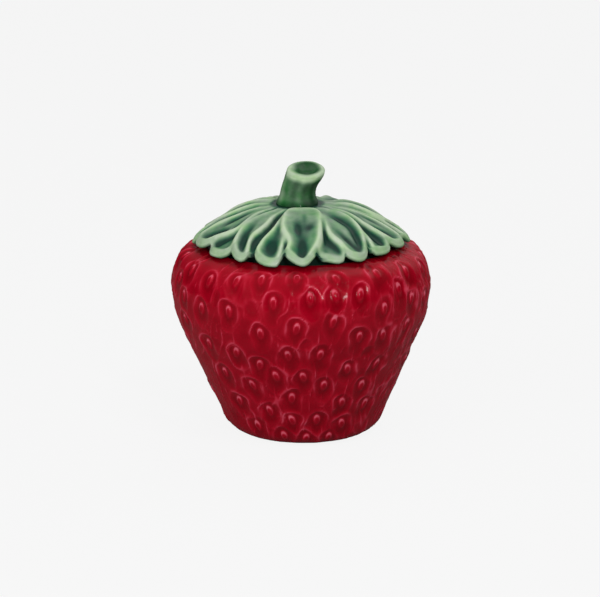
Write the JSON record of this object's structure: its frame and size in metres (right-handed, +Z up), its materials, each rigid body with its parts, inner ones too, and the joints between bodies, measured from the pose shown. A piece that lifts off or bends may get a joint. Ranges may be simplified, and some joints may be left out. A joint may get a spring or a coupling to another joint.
{
  "type": "lidded storage jar",
  "caption": "Strawberry-shaped glazed ceramic storage jar with a loose lift-off lid moulded as a calyx of overlapping leaves and a hollow-ended stem for a knob.",
  "frame": {"origin": "centre of the foot, on the table plane", "axes": "+Z up along the jar's axis, -Y towards the viewer of the picture, +X to the viewer's right, the way the stem leans"},
  "size_m": [0.13, 0.13, 0.1348],
  "materials": {
    "red_glaze": "glossy deep red glaze on white earthenware",
    "leaf_glaze": "glossy translucent green glaze, pale on ridges and dark in hollows",
    "stem_glaze": "glossy dark green glaze with a pale rim"
  },
  "bodies": {
    "jar": {"jar_body": "red_glaze"},
    "lid": {"lid": "leaf_glaze", "stem_knob": "stem_glaze"}
  },
  "joints": [
    {"name": "lid_lift", "type": "slide", "parent": "jar", "child": "lid", "axis": [0, 0, 1], "range_m": [0, 0.1]}
  ]
}
